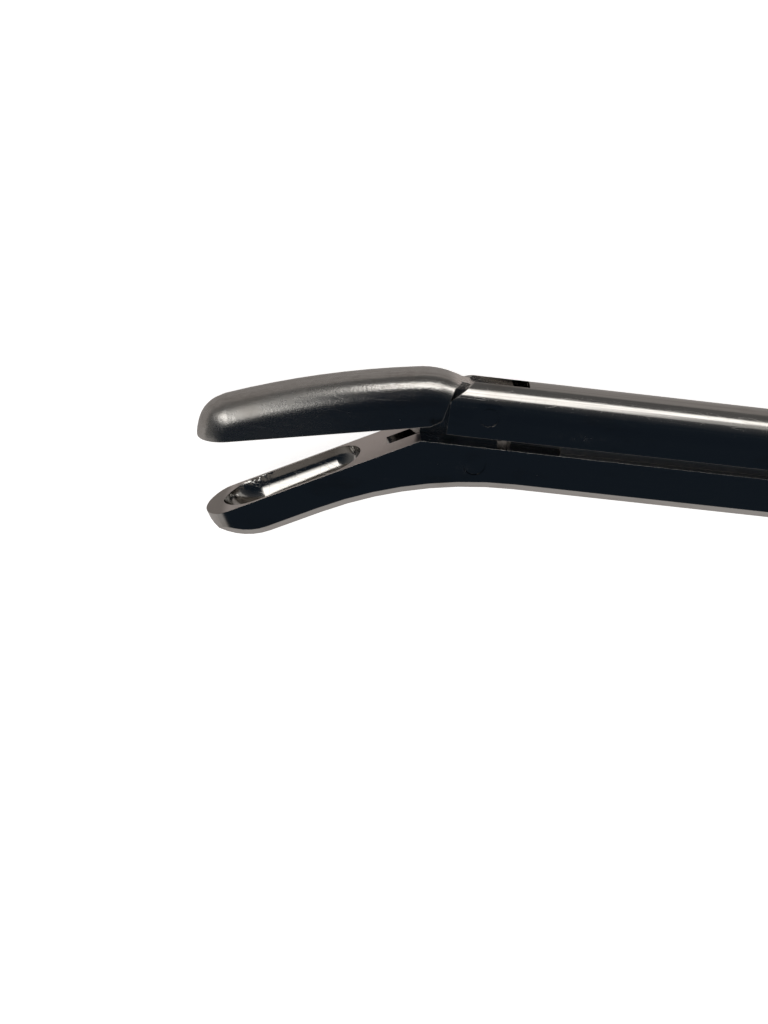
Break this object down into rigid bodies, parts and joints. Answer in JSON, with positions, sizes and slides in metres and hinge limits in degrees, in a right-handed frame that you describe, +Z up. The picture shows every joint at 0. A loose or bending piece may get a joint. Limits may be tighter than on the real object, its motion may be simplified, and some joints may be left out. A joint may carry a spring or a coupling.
{
  "type": "bone rongeur",
  "caption": "Hinged cup-jaw rongeur: fixed angled lower jaw, hinged upper jaw worked by a sliding shaft, squeeze handles with leaf springs.",
  "frame": {"origin": "centre of the bounding box's underside, with the instrument lying on its side", "axes": "+X along the shaft from the jaws to the handles, +Y to the side of the sliding shaft, +Z up through the width"},
  "size_m": [0.2262, 0.1059, 0.008],
  "materials": {
    "polished_steel": "polished, with satin jaw rims and fine scratches",
    "satin_steel": "satin, worn on the edges",
    "screw_steel": "turned, fine circular lines",
    "spring_steel": "fine ground along its length"
  },
  "bodies": {
    "frame": {"lower_shaft": "polished_steel", "rear_handle": "satin_steel", "jaw_pivot_pin": "polished_steel", "shaft_rivets": "satin_steel", "handle_pivot_screw": "screw_steel", "handle_pivot_nut": "screw_steel", "rear_spring": "spring_steel", "rear_spring_screw": "screw_steel", "rear_spring_peg": "screw_steel"},
    "slide": {"upper_shaft": "polished_steel", "jaw_drive_pin": "polished_steel", "slide_drive_screw": "screw_steel"},
    "upper_jaw": {"upper_jaw": "polished_steel"},
    "front_handle": {"front_handle": "satin_steel", "front_spring": "spring_steel", "front_spring_screw": "screw_steel", "front_spring_peg": "screw_steel"}
  },
  "joints": [
    {"name": "handle_squeeze", "type": "hinge", "parent": "frame", "child": "front_handle", "pos_m": [0.07828, 0.04378, 0.004], "axis": [0, 0, 1], "range_deg": [0, 7.28], "stiffness_Nm_per_rad": 2, "springref_deg": -5.73, "deforming": ["rear_spring", "front_spring"]},
    {"name": "slide_travel", "type": "slide", "parent": "frame", "child": "slide", "axis": [-1, 0, 0], "range_m": [0, 0.0009035]},
    {"name": "jaw_close", "type": "hinge", "parent": "frame", "child": "upper_jaw", "pos_m": [-0.09631, 0.04782, 0.004], "axis": [0, 0, 1], "range_deg": [0, 16.85]}
  ],
  "couplings": [
    {"joint": "slide_travel", "follows": "handle_squeeze", "m_per_rad": 0.0071096},
    {"joint": "jaw_close", "follows": "handle_squeeze", "ratio": 2.3142}
  ]
}
